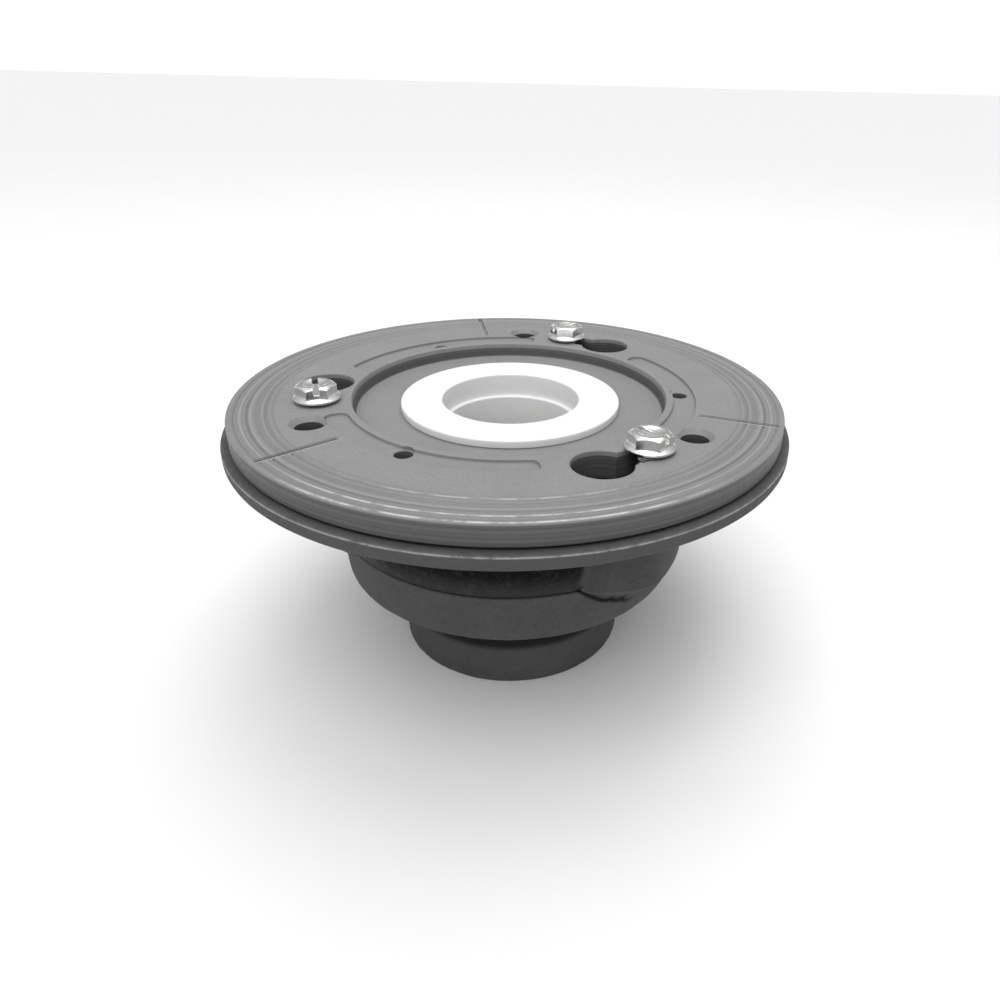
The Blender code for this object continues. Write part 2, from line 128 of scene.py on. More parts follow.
# Holes, pockets and marks in the ring
KEYHOLE_RADIUS = 9.5
KEYHOLE_HALF_WIDTH = 4.7
KEYHOLE_TURN_DEG = 15.5
SCREW_HOLE_RADIUS = 4.6
COUNTERSINK = 1.6
WEEP_RADIUS = 2.9
CHANNEL_START = 48.0
CHANNEL_WIDTH = 5.0
CHANNEL_DEPTH = 1.6
CRESCENT_DEPTH = 1.2
CRESCENT_CORNER = 3.0
GROOVE_WIDTH = 1.5
GROOVE_DEPTH = 0.9
GROOVE_START = 67.6
GROOVE_END = 93.6
TURNED_GROOVES = ((80.6, 0.7, 0.16), (83.1, 1.2, 0.34), (85.8, 0.8, 0.20), (88.8, 1.2, 0.45),
                  (90.2, 0.6, 0.14), (92.6, 0.8, 0.24))
WEAR_AND_HIGHLIGHT_CRESTS = (82.0, 91.1)
LIP_WIDTH = 0.9
LIP_RISE = 0.22
RIM = 0.35
OVERCUT = 3.0

# Angles about the axis, in degrees; all but the bolts' own are measured from a bolt
BOLT_ANGLES = {"left": 193.0, "front": 313.0, "back": 73.0}
BOLT_SLOT_ANGLES = {"left": -72.0, "front": -43.0, "back": 25.0}
SCREW_HOLE_DEG = 16.0
CRESCENT_START_DEG = 11.6
CRESCENT_END_DEG = 88.8
WEEP_DEG = 49.0
GROOVE_DEG = 29.7

# Bolts: 5/16 inch shank with 18 threads to the inch
BOLT_STANDOFF = 1.0
SHANK_RADIUS = 3.97
BOLT_PITCH = 1.41
BOLT_THREAD_DEPTH = 0.62
BOLT_TIP_LENGTH = 1.2
BOLT_TIP_DEPTH = 1.1
WASHER_RADIUS = 7.8
WASHER_THICKNESS = 1.1
WASHER_DOME = 0.5
HEAD_ACROSS_FLATS = 12.0
HEAD_CHAMFER = 0.9
HEAD_TOP_INSET = 1.6
SLOT_WIDTH = 1.9
SLOT_DEPTH = 2.4
DISH_RADIUS = 4.3
DISH_DEPTH = 0.8
HEAD_VOXEL = 0.13

# Throat, gasket and nut
THROAT_FLANGE_THICKNESS = 2.5
THROAT_RADIUS = 29.8
THROAT_BORE_RADIUS = 24.3
THROAT_LOWER_BORE_RADIUS = 22.8
THROAT_LEDGE_DEPTH = 11.2
PIPE_PITCH = 2.2
PIPE_THREAD_DEPTH = 0.8
GASKET_BORE_RADIUS = 30.5
GASKET_RIBS = 4
NUT_BORE_RADIUS = 31.4
NUT_NOTCH_WIDTH = 7.0
NUT_NOTCH_DEPTH = 3.0
NUT_PITCH = 2.0
NUT_THREAD_DEPTH = 0.5

# Where the finishes, the painted highlight and the painted shade change, in millimetres
TURNED_BAND_START = RING_RADIUS - 16.5
TURNED_BAND_FULL = RING_RADIUS - 12.5
FACE_END = RING_TOP - 0.7
FACE_FULL = RING_TOP - 0.3
WALL_START = RING_TOP - 1.5
WALL_FULL = RING_TOP - 1.9
WEAR_AND_HIGHLIGHT_FULL = -88.0
WEAR_AND_HIGHLIGHT_END = -66.0
NECK_BAND_FULL = NECK_RADIUS + 4.0
HUB_SHADE_FOOT = HUB_TOP - 19.5
HUB_SHADE_FULL = HUB_TOP - 16.0

# Floor and camera: metres and degrees, with the lens and the sensor in millimetres
FLOOR_HALF = 40.0
CAMERA_PLACE = (0.0186, -0.2624, RING_TOP * MM + 0.0979)
CAMERA_DOWN_DEG = 28.434
CAMERA_ROLL_DEG = 1.477
CAMERA_LENS = 27.95
CAMERA_SHIFT_X = -0.06
SENSOR_WIDTH = 36.0

# The sky: places on its ramp with their brightness, and its overall strength
SKY_STOPS = ((0.09, 1.0), (0.18, 0.30), (0.5, 0.42))
SKY_STRENGTH = 1.05

RING_SEGMENTS = 288
BODY_SEGMENTS = 384
THROAT_SEGMENTS = 192
BOLT_SEGMENTS = 40


# ---------------------------------------------------------------- outlines and solids


def polar(radius, degrees):
    """A point at a radius and an angle about the axis."""
    angle = math.radians(degrees)
    return radius * math.cos(angle), radius * math.sin(angle)


def arc(centre, radius, start_deg, end_deg, steps):
    """Points along an arc about a centre, both ends included."""
    points = []
    for step in range(steps + 1):
        x, y = polar(radius, start_deg + (end_deg - start_deg) * step / steps)
        points.append((centre[0] + x, centre[1] + y))
    return points


def circle(centre, radius, points):
    """A closed circle about a centre."""
    return arc(centre, radius, 0, 360 - 360 / points, points - 1)


def on_wall(radius, wall):
    """Whether a point lies on the straight wall at a radius."""
    return abs(radius - wall) < 0.01


def rounded(corners, steps=5):
    """A closed outline whose (x, y, rounding) corners are each turned into a small curve."""
    points = []
    for index, (x, y, rounding) in enumerate(corners):
        corner = Vector((x, y))
        before = Vector(corners[index - 1][:2]) - corner
        after = Vector(corners[(index + 1) % len(corners)][:2]) - corner
        reach = 0.0
        if rounding:
            half_angle = before.angle(after) / 2
            reach = min(rounding / math.tan(half_angle), before.length * 0.49, after.length * 0.49)
        if reach < 1e-3:
            points.append((x, y))
            continue
        start = corner + before.normalized() * reach
        end = corner + after.normalized() * reach
        for step in range(steps + 1):
            t = step / steps
            point = start * (1 - t) ** 2 + corner * 2 * t * (1 - t) + end * t ** 2
            points.append((point.x, point.y))
    return points


def refined(outline, spacing, zone=None):
    """Splits the outline's long spans; zone(point) may say which points need it."""
    points = []
    for index, start in enumerate(outline):
        end = outline[(index + 1) % len(outline)]
        points.append(start)
        middle = ((start[0] + end[0]) / 2, (start[1] + end[1]) / 2)
        if zone and not zone(middle):
            continue
        parts = int(math.dist(start, end) / spacing) + 1
        for part in range(1, parts):
            t = part / parts
            points.append((start[0] + (end[0] - start[0]) * t, start[1] + (end[1] - start[1]) * t))
    return points


def as_object(name, work):
    """Turns a bmesh in millimetres into a smooth-shaded object in metres."""
    bmesh.ops.scale(work, vec=(MM, MM, MM), verts=work.verts)
    bmesh.ops.recalc_face_normals(work, faces=work.faces)
    mesh = bpy.data.meshes.new(name)
    work.to_mesh(mesh)
    work.free()
    mesh.shade_smooth()
    result = bpy.data.objects.new(name, mesh)
    bpy.context.collection.objects.link(result)
    return result


def turned(name, outline, segments, shape=None):
    """Spins a closed (radius, height) outline about the axis; shape(r, z, angle) may move a point."""
    work = bmesh.new()
    rows = []
    for segment in range(segments):
        angle = math.tau * segment / segments
        row = []
        for radius, height in outline:
            if shape:
                radius, height = shape(radius, height, angle)
            row.append(work.verts.new((radius * math.cos(angle), radius * math.sin(angle), height)))
        rows.append(row)
    for segment, row in enumerate(rows):
        beside = rows[(segment + 1) % segments]
        for index, corner in enumerate(row):
            following = (index + 1) % len(row)
            work.faces.new((corner, row[following], beside[following], beside[index]))
    return as_object(name, work)


def loft(work, layers):
    """Walls through plan outlines of (x, y) points at rising heights, capped at both ends."""
    rings = [[work.verts.new((x, y, z)) for x, y in outline] for outline, z in layers]
    for lower, upper in zip(rings, rings[1:]):
        for index, corner in enumerate(lower):
            work.faces.new((lower[index - 1], corner, upper[index], upper[index - 1]))
    work.faces.new(rings[0])
    work.faces.new(rings[-1])


def cut_with_rim(work, outline_at, floor, top, rim=RIM, floor_round=0.0):
    """A cutter whose walls flare at the top by a rounded rim; outline_at(growth) gives its plan."""
    layers = []
    if floor_round:
        for degrees in (0, 30, 60):
            angle = math.radians(degrees)
            layers.append((outline_at(floor_round * (math.sin(angle) - 1)),
                           floor + floor_round * (1 - math.cos(angle))))
        layers.append((outline_at(0.0), floor + floor_round))
    else:
        layers.append((outline_at(0.0), floor))
    for degrees in (0, 30, 60, 90):
        angle = math.radians(degrees)
        layers.append((outline_at(rim * (1 - math.cos(angle))), top - rim + rim * math.sin(angle)))
    layers.append((outline_at(rim), top + OVERCUT))
    loft(work, layers)


def apply_all(target):
    """Replaces an object's mesh with its modifiers' result."""
    depsgraph = bpy.context.evaluated_depsgraph_get()
    mesh = bpy.data.meshes.new_from_object(target.evaluated_get(depsgraph))
    target.modifiers.clear()
    target.data = mesh


def boolean(target, work, operation="DIFFERENCE"):
    """Cuts or adds a bmesh solid in millimetres."""
    guide = as_object("guide", work)
    modifier = target.modifiers.new("cut", "BOOLEAN")
    modifier.operation = operation
    modifier.object = guide
    modifier.solver = "EXACT"
    apply_all(target)
    bpy.data.objects.remove(guide)


def crisp(target, degrees=38):
    """Smooth shading, broken at real edges."""
    target.data.shade_smooth()
    target.data.set_sharp_from_angle(angle=math.radians(degrees))


def smooth_step(value, start, end):
    t = min(1.0, max(0.0, (value - start) / (end - start)))
    return t * t * (3 - 2 * t)


def smooth_max(a, b, blend):
    """The larger of two values, with a fillet where they meet."""
    share = min(1.0, max(0.0, 0.5 + 0.5 * (b - a) / blend))
    return a + (b - a) * share + blend * share * (1 - share)


def thread(height, angle, pitch):
    """How deep a screw thread is cut at a height and angle, from 0 on the crest to 1 at the root."""
    phase = (height / pitch - angle / math.tau) % 1.0
    return min(1.0, max(0.0, 1.5 - abs(phase - 0.5) * 3.4))


def bead(radius, height, rise):
    """Corners of one raised bead, outer side last."""
    crest = BEAD_HALF_WIDTH - abs(rise) / 2
    return [(radius - BEAD_HALF_WIDTH, height, 0.4), (radius - crest / 2, height + rise, 0.4),
            (radius + crest / 2, height + rise, 0.4), (radius + BEAD_HALF_WIDTH, height, 0.4)]


# ---------------------------------------------------------------- materials


class Graph:
    """A Principled material and short ways to add nodes to it."""

    def __init__(self, name, roughness, metallic=0.0, specular=0.5):
        self.material = bpy.data.materials.new(name)
        self.material.use_nodes = True
        self.tree = self.material.node_tree
        self.shader = self.tree.nodes["Principled BSDF"]
        self.shader.inputs["Roughness"].default_value = roughness
        self.shader.inputs["Metallic"].default_value = metallic
        self.shader.inputs["Specular IOR Level"].default_value = specular
        self.place = self.tree.nodes.new("ShaderNodeTexCoord").outputs["Object"]

    def node(self, kind, inputs=None, **settings):
        made = self.tree.nodes.new(kind)
        for key, value in settings.items():
            setattr(made, key, value)
        for key, value in (inputs or {}).items():
            self.feed(made.inputs[key], value)
        return made

    def feed(self, socket, value):
        if isinstance(value, bpy.types.NodeSocket):
            self.tree.links.new(value, socket)
        else:
            socket.default_value = value

    def noise(self, size_mm, detail=3.0, roughness=0.6):
        """Cloudy values from 0 to 1, with blotches of about the given size."""
        inputs = {"Vector": self.place, "Scale": 1 / (size_mm * MM), "Detail": detail,
                  "Roughness": roughness}
        return self.node("ShaderNodeTexNoise", inputs).outputs["Fac"]

    def math(self, operation, a, b=0.0):
        return self.node("ShaderNodeMath", {0: a, 1: b}, operation=operation).outputs[0]

    def span(self, value, start, end, low_value=0.0, high_value=1.0):
        """Maps start..end smoothly to two values."""
        inputs = {"Value": value, "From Min": start, "From Max": end, "To Min": low_value,
                  "To Max": high_value}
        return self.node("ShaderNodeMapRange", inputs,
                         interpolation_type="SMOOTHSTEP").outputs["Result"]

    def zone(self, place, start_mm, end_mm, low_value=0.0, high_value=1.0):
        """Maps a radius, height or distance smoothly, between two places in millimetres."""
        return self.span(place, start_mm * MM, end_mm * MM, low_value, high_value)

    def sector(self, angle, start_deg, end_deg, low_value=0.0, high_value=1.0):
        """Maps an angle smoothly, between two angles in degrees."""
        return self.span(angle, math.radians(start_deg), math.radians(end_deg), low_value, high_value)

    def product(self, first, *others):
        for other in others:
            first = self.math("MULTIPLY", first, other)
        return first

    def mix(self, share, first, second):
        """Blends two colours."""
        made = self.node("ShaderNodeMix", data_type="RGBA")
        self.feed(made.inputs["Factor"], share)
        self.feed(made.inputs[6], first)
        self.feed(made.inputs[7], second)
        return made.outputs[2]

    def height(self):
        """The height of a point above the drain's foot, in metres."""
        return self.node("ShaderNodeSeparateXYZ", {0: self.place}).outputs["Z"]

    def depth(self):
        """How far back a point lies, in metres."""
        return self.node("ShaderNodeSeparateXYZ", {0: self.place}).outputs["Y"]

    def radius(self):
        """The distance of a point from the drain's axis, in metres."""
        flat = self.node("ShaderNodeVectorMath", {0: self.place, 1: (1.0, 1.0, 0.0)},
                         operation="MULTIPLY")
        length = self.node("ShaderNodeVectorMath", {0: flat.outputs[0]}, operation="LENGTH")
        return length.outputs["Value"]

    def beside_boss(self):
        """How far a point is from the nearest bolt boss, and how far it has turned past that bolt."""
        split = self.node("ShaderNodeSeparateXYZ", {0: self.place})
        bearing = self.math("ARCTAN2", split.outputs["Y"], split.outputs["X"])
        first_bolt = math.radians(BOLT_ANGLES["back"] - 60.0)
        turned = self.math("SUBTRACT", bearing, first_bolt)
        turned = self.node("ShaderNodeMath", {0: turned, 1: math.tau / 3},
                           operation="FLOORED_MODULO").outputs[0]
        turned = self.math("SUBTRACT", turned, math.tau / 6)
        radius = self.radius()
        spot = self.node("ShaderNodeCombineXYZ", {
            "X": self.math("MULTIPLY", radius, self.math("COSINE", turned)),
            "Y": self.math("MULTIPLY", radius, self.math("SINE", turned))}).outputs[0]
        nearest = None
        lobes = [Vector(lobe) for lobe in BOSS_LOBES]
        between = [lobes[0].lerp(lobes[1], 0.5), lobes[1].lerp(lobes[2], 0.33),
                   lobes[1].lerp(lobes[2], 0.67)]
        for lobe in lobes + between:
            centre = Vector((*polar(lobe[1] * MM, lobe[0]), 0.0))
            away = self.node("ShaderNodeVectorMath", {0: spot, 1: centre},
                             operation="DISTANCE").outputs["Value"]
            away = self.math("SUBTRACT", away, lobe[2] * MM)
            nearest = away if nearest is None else self.math("MINIMUM", nearest, away)
        slope = self.math("SUBTRACT", (BOSS_BOTTOM + BOSS_SLOPE) * MM, self.height())
        return self.math("ADD", nearest, self.math("MAXIMUM", slope, 0.0)), turned

    def line(self, value, centre_mm, half_width_mm):
        """1 on a line at a radius or height, falling to 0 beside it."""
        away = self.math("ABSOLUTE", self.math("SUBTRACT", value, centre_mm * MM))
        return self.zone(away, 0.0, half_width_mm, 1.0, 0.0)

    def turning_lines(self, radius, size_mm):
        """Fine rings left by a lathe."""
        inputs = {"W": radius, "Scale": 1 / (size_mm * MM), "Detail": 2.0}
        return self.node("ShaderNodeTexNoise", inputs, noise_dimensions="1D").outputs["Fac"]

    def bump(self, height, depth_mm, strength=1.0, over=None):
        inputs = {"Height": height, "Distance": depth_mm * MM, "Strength": strength}
        if over:
            inputs["Normal"] = over
        return self.node("ShaderNodeBump", inputs).outputs["Normal"]

    def finish(self, color, normal=None, roughness=None):
        self.feed(self.shader.inputs["Base Color"], color)
        if normal:
            self.feed(self.shader.inputs["Normal"], normal)
        if roughness:
            self.feed(self.shader.inputs["Roughness"], roughness)
        return self.material


def grey(value, warmth=0.0):
    """A near-neutral colour."""
    return (value * (1 + warmth), value, value * (1 - warmth), 1.0)


def ring_paint():
    """Grey foundry paint over a machined top, darker on its side walls as painted shade, and rubbed
    bright along the turning lines on the front side, partly wear and partly a painted highlight.
    """
    graph = Graph("ring_paint", 0.5, specular=0.45)
    radius = graph.radius()
    height = graph.height()
    patches = graph.noise(26.0, 4.0)
    grain = graph.noise(0.8, 4.0, 0.75)
    lines = graph.turning_lines(radius, 0.9)
    stain = grey(0.165)
    color = graph.mix(patches, grey(0.215), grey(0.285))
    color = graph.mix(graph.span(grain, 0.40, 0.75, 0.0, 0.45), color, stain)

    turned_band = graph.zone(radius, TURNED_BAND_START, TURNED_BAND_FULL)
    color = graph.mix(graph.product(graph.span(lines, 0.38, 0.62, 0.15, 0.75), turned_band), color, stain)
    coarse = graph.span(graph.turning_lines(radius, 1.7), 0.56, 0.68, 0.0, 0.5)
    color = graph.mix(graph.product(coarse, turned_band), color, grey(0.34))

    # Painted shade: the ring's outer side and the recess walls get darker paint for the lower light that
    # reaches them, partly also for their unmachined cast finish.
    rolled = graph.span(graph.turning_lines(height, 0.9), 0.3, 0.7)
    cast_and_shaded_side_color = graph.mix(rolled, grey(0.062), grey(0.105))
    plate = graph.zone(radius, RECESS_RADIUS - 1.4, RECESS_RADIUS - 1.0)
    above_floor = graph.zone(height, RECESS_FLOOR + 0.4, RECESS_FLOOR + 0.9)
    walls = graph.product(graph.zone(height, WALL_FULL, WALL_START, 1.0, 0.0),
                          graph.math("MAXIMUM", plate, above_floor))
    rim = graph.product(graph.zone(radius, RING_RADIUS - 0.9, RING_RADIUS - 0.4),
                        graph.zone(height, FACE_END, FACE_FULL, 1.0, 0.0))
    color = graph.mix(graph.math("MAXIMUM", walls, rim), color, cast_and_shaded_side_color)

    # Bright lines on the outer edge and two crests, bright mainly on the front side: partly wear, partly
    # a painted highlight from the front light.
    wear_and_highlight = graph.line(radius, RING_RADIUS - 0.8, 0.7)
    for crest in WEAR_AND_HIGHLIGHT_CRESTS:
        wear_and_highlight = graph.math("MAXIMUM", wear_and_highlight, graph.line(radius, crest, 0.55))
    scuffed = graph.span(graph.noise(9.0, 6.0, 0.75), 0.36, 0.58)
    wear_and_highlight_side = graph.zone(graph.depth(), WEAR_AND_HIGHLIGHT_FULL, WEAR_AND_HIGHLIGHT_END, 1.0, 0.08)
    on_face = graph.zone(height, FACE_END, FACE_FULL)
    color = graph.mix(graph.product(wear_and_highlight, scuffed, wear_and_highlight_side, on_face), color, grey(0.62))
    raised = graph.zone(height, RING_TOP + 0.05, RING_TOP + LIP_RISE, 0.0, 0.5)
    color = graph.mix(raised, color, grey(0.40))

    normal = graph.bump(lines, 0.16, 0.6)
    normal = graph.bump(graph.noise(1.8, 5.0, 0.65), 0.26, 0.7, normal)
    normal = graph.bump(graph.noise(7.0, 3.0, 0.5), 0.5, 0.6, normal)
    rough = graph.span(grain, 0.3, 0.8, 0.42, 0.62)
    return graph.finish(color, normal, rough)


def paint_dark_shade(graph, color, radius, height):
    """The neck painted near black under the flange, partly its rough sand skin and partly painted shade;
    painted shade also as dark lines in the creases along the ledge and round the bosses, and as a band on
    the hub under the bowl.
    """
    black = grey(0.002)
    boss, turned = graph.beside_boss()
    inward = graph.zone(radius, NECK_BAND_FULL, FLARE_END, 1.0, 0.0)
    shade_sector = graph.math("MAXIMUM", graph.sector(turned, 24.0, 46.0, 0.3, 1.0),
                           graph.sector(turned, 4.0, -4.0))

    # Painted shade under the flange: the neck is painted near black, darker higher up under the flange
    # and in a sector between the bosses, faint on the bosses except near their tops; sand noise gives its
    # rough skin.
    neck = graph.product(graph.zone(height, LEDGE - 0.3, LEDGE + 0.8), inward)
    deep = graph.zone(height, LEDGE + 1.0, LEDGE + 10.0, 0.6, 1.0)
    sand = graph.span(graph.noise(3.0, 6.0, 0.85), 0.28, 0.52, 0.6, 1.0)
    shade_off_boss = graph.math("MAXIMUM", graph.zone(boss, 0.3, 2.5, 0.12, 1.0),
                          graph.zone(height, LEDGE + 13.0, LEDGE + 19.0, 0.0, 0.9))
    color = graph.mix(graph.product(neck, shade_sector, deep, sand, shade_off_boss), color, black)

    # Painted shade: a dark line in the crease along the ledge.
    ledge = graph.line(height, LEDGE + 0.1, 0.9)
    color = graph.mix(graph.product(ledge, graph.zone(boss, 0.5, 1.2), shade_sector), color, black)

    # Painted shade: a dark line in the crease where the bosses meet the bowl.
    outline = graph.product(
        graph.zone(boss, 0.15, 0.7), graph.zone(boss, 2.6, 0.9), graph.zone(radius, 61.0, 62.5),
        graph.zone(height, BOSS_BOTTOM - 3.0, BOSS_BOTTOM - 2.0), inward,
        graph.zone(height, LEDGE + 3.0, LEDGE), graph.sector(turned, 3.0, -3.0))
    color = graph.mix(outline, color, black)

    # Painted shadow of the bowl's overhang on the top of the hub.
    hub_shade = graph.product(
        graph.zone(height, HUB_SHADE_FOOT, HUB_SHADE_FULL, 0.0, 0.85),
        graph.zone(radius, HUB_RADIUS + 14.0, HUB_RADIUS + 10.0),
        graph.zone(height, HUB_TOP + 0.6, HUB_TOP - 0.2))
    return graph.mix(hub_shade, color, grey(0.004))


def body_iron():
    """Dark sand-cast iron, rough on the neck and painted black there, partly as shade under the flange,
    with painted shade in its creases and on the hub; rubbed bright on the flange's edge.
    """
    graph = Graph("body_iron", 0.55, specular=0.08)
    radius = graph.radius()
    height = graph.height()
    patches = graph.noise(16.0, 5.0)
    grain = graph.noise(1.0, 5.0, 0.8)
    color = graph.mix(patches, grey(0.066), grey(0.108))
    color = graph.mix(graph.span(grain, 0.55, 0.72, 0.0, 0.5), color, grey(0.16))
    color = graph.mix(graph.span(grain, 0.45, 0.30, 0.0, 0.6), color, grey(0.018))
    color = paint_dark_shade(graph, color, radius, height)

    rim = graph.zone(radius, FLANGE_RADIUS - 6.0, FLANGE_RADIUS - 1.0)
    color = graph.mix(rim, color, graph.mix(patches, grey(0.074), grey(0.100)))
    corner = graph.line(height, FLANGE_TOP + FLANGE_RIM_RISE - 0.4, 0.42)
    scuffed = graph.span(graph.noise(5.0, 5.0, 0.75), 0.32, 0.60, 0.25, 1.0)
    color = graph.mix(graph.product(corner, rim, scuffed), color, grey(0.36))

    normal = graph.bump(graph.noise(0.9, 4.0, 0.75), 0.5, 0.9)
    normal = graph.bump(graph.noise(3.2, 4.0, 0.6), 1.0, 0.7, normal)
    rough = graph.span(grain, 0.3, 0.8, 0.48, 0.75)
    return graph.finish(color, normal, rough)


def zinc_plate():
    """Bright zinc over cold-formed steel, faintly streaked and dulled in patches."""
    graph = Graph("zinc_plate", 0.25, metallic=1.0)
    patches = graph.noise(2.5, 5.0, 0.7)
    color = graph.mix(patches, grey(0.80, 0.01), grey(0.93, 0.01))
    stains = graph.span(graph.noise(1.6, 4.0, 0.75), 0.58, 0.74, 0.0, 0.35)
    color = graph.mix(stains, color, grey(0.5, 0.02))
    normal = graph.bump(graph.noise(1.4, 2.0, 0.5), 0.02, 0.4)
    rough = graph.span(patches, 0.3, 0.7, 0.14, 0.26)
    return graph.finish(color, normal, rough)


def white_plastic():
    """Satin white moulded plastic with faint turning rings and scuffs."""
    graph = Graph("white_plastic", 0.4, specular=0.5)
    graph.shader.inputs["Subsurface Weight"].default_value = 0.12
    graph.shader.inputs["Subsurface Radius"].default_value = (0.0016, 0.0014, 0.0012)
    graph.shader.inputs["Subsurface Scale"].default_value = 1.0
    color = graph.mix(graph.noise(9.0, 4.0), grey(0.84, 0.003), grey(0.90, 0.003))
    marks = graph.span(graph.noise(2.0, 6.0, 0.8), 0.60, 0.70, 0.0, 0.15)
    color = graph.mix(marks, color, grey(0.62, 0.01))
    normal = graph.bump(graph.turning_lines(graph.radius(), 0.8), 0.03, 0.5)
    normal = graph.bump(graph.noise(0.6, 3.0), 0.03, 0.5, normal)
    rough = graph.span(graph.noise(4.0, 4.0), 0.3, 0.7, 0.33, 0.48)
    return graph.finish(color, normal, rough)


def black_rubber():
    """Moulded rubber with a dusty bloom."""
    graph = Graph("black_rubber", 0.75, specular=0.3)
    color = graph.mix(graph.noise(5.0, 5.0), grey(0.018), grey(0.040))
    dust = graph.span(graph.noise(0.8, 4.0, 0.75), 0.6, 0.78, 0.0, 0.3)
    color = graph.mix(dust, color, grey(0.14, 0.03))
    normal = graph.bump(graph.noise(0.5, 4.0), 0.08, 0.6)
    rough = graph.span(graph.noise(3.0, 3.0), 0.3, 0.7, 0.65, 0.85)
    return graph.finish(color, normal, rough)


def cast_brass():
    """Brass with turning rings, tarnished in patches."""
    graph = Graph("cast_brass", 0.35, metallic=1.0)
    tarnish = graph.span(graph.noise(4.0, 5.0, 0.7), 0.42, 0.66)
    color = graph.mix(tarnish, (0.78, 0.56, 0.26, 1.0), (0.42, 0.27, 0.11, 1.0))
    normal = graph.bump(graph.turning_lines(graph.radius(), 0.5), 0.06, 0.6)
    normal = graph.bump(graph.noise(0.5, 3.0), 0.05, 0.5, normal)
    rough = graph.span(tarnish, 0.0, 1.0, 0.26, 0.5)
    return graph.finish(color, normal, rough)


# ---------------------------------------------------------------- the pieces


def settle(piece, body, slot, material, *nodes):
    """Gives a piece its material and its body and hides the CAD nodes it stands for; its finish name is
    not used.
    """
    piece.data.materials.clear()
    piece.data.materials.append(material)
    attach(piece, body)
    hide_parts(*nodes)


def boss_reach(angle):
    """How far the bolt bosses reach from the axis at an angle, or 0 where there is none."""
    farthest = 0.0
    for bolt_deg in BOLT_ANGLES.values():
        for first, second in zip(BOSS_LOBES, BOSS_LOBES[1:]):
            for step in range(BOSS_STEPS + 1):
                turned_deg, distance, radius = Vector(first).lerp(Vector(second), step / BOSS_STEPS)
                turn = angle - math.radians(bolt_deg + turned_deg)
                aside = distance * math.sin(turn)
                if math.cos(turn) > 0 and abs(aside) < radius:
                    reach = distance * math.cos(turn) + math.sqrt(radius ** 2 - aside ** 2)
                    farthest = max(farthest, reach)
    return farthest


def body_shape(reach_at):
    """Moves the turned body's points out to the bosses, and in and out as sand casting does."""

    def shape(radius, height, angle):
        outside = radius > MOUTH_RADIUS + 1.0 and height < FLANGE_BOTTOM + 0.01
        if outside and height > BOSS_BOTTOM:
            reach = reach_at[angle] - max(0.0, BOSS_BOTTOM + BOSS_SLOPE - height)
            base = min(radius, NECK_RADIUS)
            pushed = smooth_max(base, reach, BOSS_BLEND) - base
            pushed *= smooth_step(reach, base - BOSS_BLEND, base)
            radius += pushed * (1 - smooth_step(radius, FLARE_START, FLARE_END))
        if height < FLANGE_BOTTOM - 1.0 and radius > HUB_BORE_RADIUS + 1.0:
            place = Vector((radius * math.cos(angle), radius * math.sin(angle), height))
            radius += sum(depth * noise.noise(place * rate) for depth, rate in CAST_WAVES)
        if on_wall(radius, HUB_BORE_RADIUS) and HUB_THREAD_FOOT < height < HUB_THREAD_TOP:
            radius += NUT_THREAD_DEPTH * (1 - thread(height, angle, NUT_PITCH))
        return radius, height

    return shape


def drain_casting(material):
    """The lower casting: flange with two beads, flared neck with bolt bosses, bowl and hub."""
    rim_top = FLANGE_TOP + FLANGE_RIM_RISE
    corners = [(MOUTH_RADIUS, FLANGE_TOP, 1.0)]
    for radius in FLANGE_BEAD_RADII:
        corners += bead(radius, FLANGE_TOP, BEAD_HEIGHT)
    corners += [
        (FLANGE_RIM_START, FLANGE_TOP, 0.5), (FLANGE_RIM_START + FLANGE_RIM_RISE, rim_top, 0.5),
        (RING_RADIUS - 0.7, rim_top, 0.8), (FLANGE_RADIUS, rim_top - FLANGE_RIM_SLOPE, 0.5),
        (FLANGE_RADIUS, FLANGE_BOTTOM, 2.2),
        (NECK_RADIUS, FLANGE_BOTTOM, 4.4), (BOWL_RADIUS + 0.4, LEDGE + 0.5, 0.6),
        (BOWL_RADIUS - 0.7, LEDGE, 0.25), (BOWL_RADIUS, LEDGE - 0.7, 0.6),
        (BOWL_RADIUS - 1.8, HUB_TOP, 4.5), (HUB_RADIUS, HUB_TOP, 1.6),
        (HUB_RADIUS - 0.6, 0.0, 1.0), (PIPE_HOLE_RADIUS, 0.0, 0.8),
        (PIPE_HOLE_RADIUS, OUTLET_LIP_TOP, 0.5), (HUB_BORE_RADIUS, OUTLET_LIP_TOP, 0.3),
        (HUB_BORE_RADIUS, BOWL_FLOOR, 0.7), (MOUTH_RADIUS - 1.6, BOWL_FLOOR, 4.5),
        (MOUTH_RADIUS, BOWL_FLOOR + 12.0, 3.0)]
    outline = refined(rounded(corners), 0.5, lambda p: p[0] > NECK_RADIUS - 8.0
                      and abs(p[1] - BOSS_BOTTOM - BOSS_SLOPE / 2) < 8.0)
    outline = refined(outline, NUT_PITCH / 6, lambda p: on_wall(p[0], HUB_BORE_RADIUS)
                      and p[1] > HUB_THREAD_FOOT)
    outline = refined(outline, 1.3, lambda p: p[0] > HUB_BORE_RADIUS + 1.0 and p[1] < FLANGE_BOTTOM - 0.5)
    outline = refined(outline, 4.0)
    angles = [math.tau * segment / BODY_SEGMENTS for segment in range(BODY_SEGMENTS)]
    reach_at = {angle: boss_reach(angle) for angle in angles}
    body = turned("drain_casting", outline, BODY_SEGMENTS, body_shape(reach_at))
    work = bmesh.new()
    for degrees in BOLT_ANGLES.values():
        centre = polar(BOLT_CIRCLE, degrees)
        cut_with_rim(work, lambda growth: circle(centre, SHANK_RADIUS + GAP + growth, 36),
                     BOLT_FOOT - 4.0, FLANGE_TOP, 0.6)
    boolean(body, work)
    crisp(body, 50)
    settle(body, "drain_body", "body_iron", material, "drain_flange", "drain_bowl", "outlet_hub")


